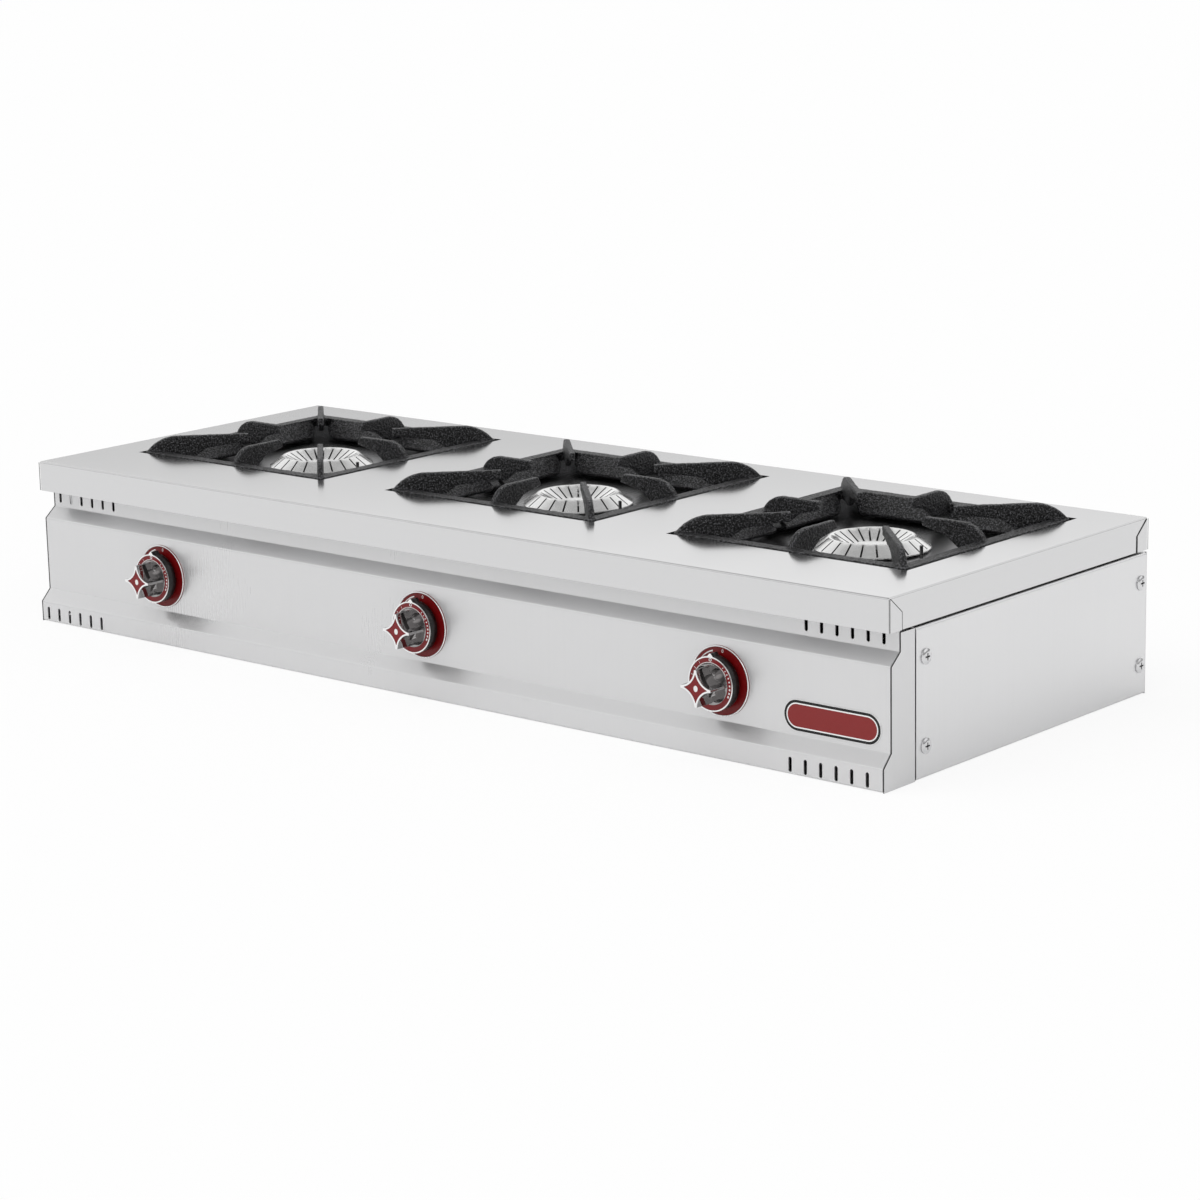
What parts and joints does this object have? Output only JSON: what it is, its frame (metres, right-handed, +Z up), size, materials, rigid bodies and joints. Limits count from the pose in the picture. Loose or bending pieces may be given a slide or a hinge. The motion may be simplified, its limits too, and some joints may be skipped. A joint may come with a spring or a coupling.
{
  "type": "countertop gas range",
  "caption": "Countertop gas boiling range: long stainless casing, open burners under square cast-iron pan supports, push-and-turn gas taps on a stepped front.",
  "frame": {"origin": "on the resting plane, under the centre of the footprint (the front edges of the knobs and the end of the gas inlet are the same distance from it)", "axes": "+Z up, -Y towards the user, +X to the user's right along the casing"},
  "size_m": [1.2036, 0.5193, 0.2038],
  "materials": {
    "stainless": "satin brushed stainless sheet",
    "zinc_steel": "zinc plated mild steel",
    "screw_steel": "bright plated steel",
    "badge_red": "red print on a bright plate",
    "gas_pipe": "galvanised steel pipe",
    "tray_steel": "dark reflective steel tray",
    "cast_iron": "black enamelled rough casting",
    "burner_steel": "bright satin burner cap",
    "burner_casting": "grey casting",
    "brass": "machined brass",
    "tube_metal": "drawn tube",
    "knob_chrome": "bright chrome",
    "knob_red": "red printed plate with white lines",
    "bezel_red": "red printed plate with a silver rim"
  },
  "bodies": {
    "casing": {"hob_top": "stainless", "fascia": "stainless", "fascia_cheek_left": "stainless", "fascia_cheek_right": "stainless", "side_panel_left": "stainless", "side_panel_right": "stainless", "rear_panel": "stainless", "corner_posts": "zinc_steel", "side_screws": "screw_steel", "rear_screws": "screw_steel", "burner_rail_front": "zinc_steel", "burner_rail_rear": "zinc_steel", "badge_plate": "badge_red", "gas_rail": "gas_pipe", "gas_inlet_pipe": "gas_pipe", "rail_brackets": "zinc_steel", "drip_well_left": "tray_steel", "burner_body_left": "burner_casting", "injector_left": "brass", "supply_tube_left": "tube_metal", "gas_valve_left": "brass", "knob_bezel_left": "bezel_red", "thermocouple_left": "tube_metal", "drip_well_middle": "tray_steel", "burner_body_middle": "burner_casting", "injector_middle": "brass", "supply_tube_middle": "tube_metal", "gas_valve_middle": "brass", "knob_bezel_middle": "bezel_red", "thermocouple_middle": "tube_metal", "drip_well_right": "tray_steel", "burner_body_right": "burner_casting", "injector_right": "brass", "supply_tube_right": "tube_metal", "gas_valve_right": "brass", "knob_bezel_right": "bezel_red", "thermocouple_right": "tube_metal"},
    "pan_support_left": {"pan_support_left": "cast_iron"},
    "burner_crown_left": {"burner_crown_left": "burner_steel"},
    "cock_left": {"valve_plug_left": "brass", "valve_spring_left": "screw_steel"},
    "knob_left": {"valve_spindle_left": "screw_steel", "knob_left": "knob_chrome", "knob_insert_left": "knob_red"},
    "pan_support_middle": {"pan_support_middle": "cast_iron"},
    "burner_crown_middle": {"burner_crown_middle": "burner_steel"},
    "cock_middle": {"valve_plug_middle": "brass", "valve_spring_middle": "screw_steel"},
    "knob_middle": {"valve_spindle_middle": "screw_steel", "knob_middle": "knob_chrome", "knob_insert_middle": "knob_red"},
    "pan_support_right": {"pan_support_right": "cast_iron"},
    "burner_crown_right": {"burner_crown_right": "burner_steel"},
    "cock_right": {"valve_plug_right": "brass", "valve_spring_right": "screw_steel"},
    "knob_right": {"valve_spindle_right": "screw_steel", "knob_right": "knob_chrome", "knob_insert_right": "knob_red"}
  },
  "joints": [
    {"name": "pan_support_left_lift", "type": "slide", "parent": "casing", "child": "pan_support_left", "axis": [0, 0, 1], "range_m": [0, 0.06]},
    {"name": "burner_crown_left_lift", "type": "slide", "parent": "casing", "child": "burner_crown_left", "axis": [0, 0, 1], "range_m": [0, 0.04]},
    {"name": "knob_left_turn", "type": "hinge", "parent": "casing", "child": "cock_left", "pos_m": [-0.4032, -0.2205, 0.0755], "axis": [0, -1, 0], "range_deg": [0, 180]},
    {"name": "knob_left_push", "type": "slide", "parent": "cock_left", "child": "knob_left", "axis": [0, 1, 0], "range_m": [0, 0.003], "stiffness_N_per_m": 1500, "springref_m": -0.0035, "deforming": ["valve_spring_left"]},
    {"name": "pan_support_middle_lift", "type": "slide", "parent": "casing", "child": "pan_support_middle", "axis": [0, 0, 1], "range_m": [0, 0.06]},
    {"name": "burner_crown_middle_lift", "type": "slide", "parent": "casing", "child": "burner_crown_middle", "axis": [0, 0, 1], "range_m": [0, 0.04]},
    {"name": "knob_middle_turn", "type": "hinge", "parent": "casing", "child": "cock_middle", "pos_m": [-0.004, -0.2205, 0.0755], "axis": [0, -1, 0], "range_deg": [0, 180]},
    {"name": "knob_middle_push", "type": "slide", "parent": "cock_middle", "child": "knob_middle", "axis": [0, 1, 0], "range_m": [0, 0.003], "stiffness_N_per_m": 1500, "springref_m": -0.0035, "deforming": ["valve_spring_middle"]},
    {"name": "pan_support_right_lift", "type": "slide", "parent": "casing", "child": "pan_support_right", "axis": [0, 0, 1], "range_m": [0, 0.06]},
    {"name": "burner_crown_right_lift", "type": "slide", "parent": "casing", "child": "burner_crown_right", "axis": [0, 0, 1], "range_m": [0, 0.04]},
    {"name": "knob_right_turn", "type": "hinge", "parent": "casing", "child": "cock_right", "pos_m": [0.3952, -0.2205, 0.0755], "axis": [0, -1, 0], "range_deg": [0, 180]},
    {"name": "knob_right_push", "type": "slide", "parent": "cock_right", "child": "knob_right", "axis": [0, 1, 0], "range_m": [0, 0.003], "stiffness_N_per_m": 1500, "springref_m": -0.0035, "deforming": ["valve_spring_right"]}
  ]
}
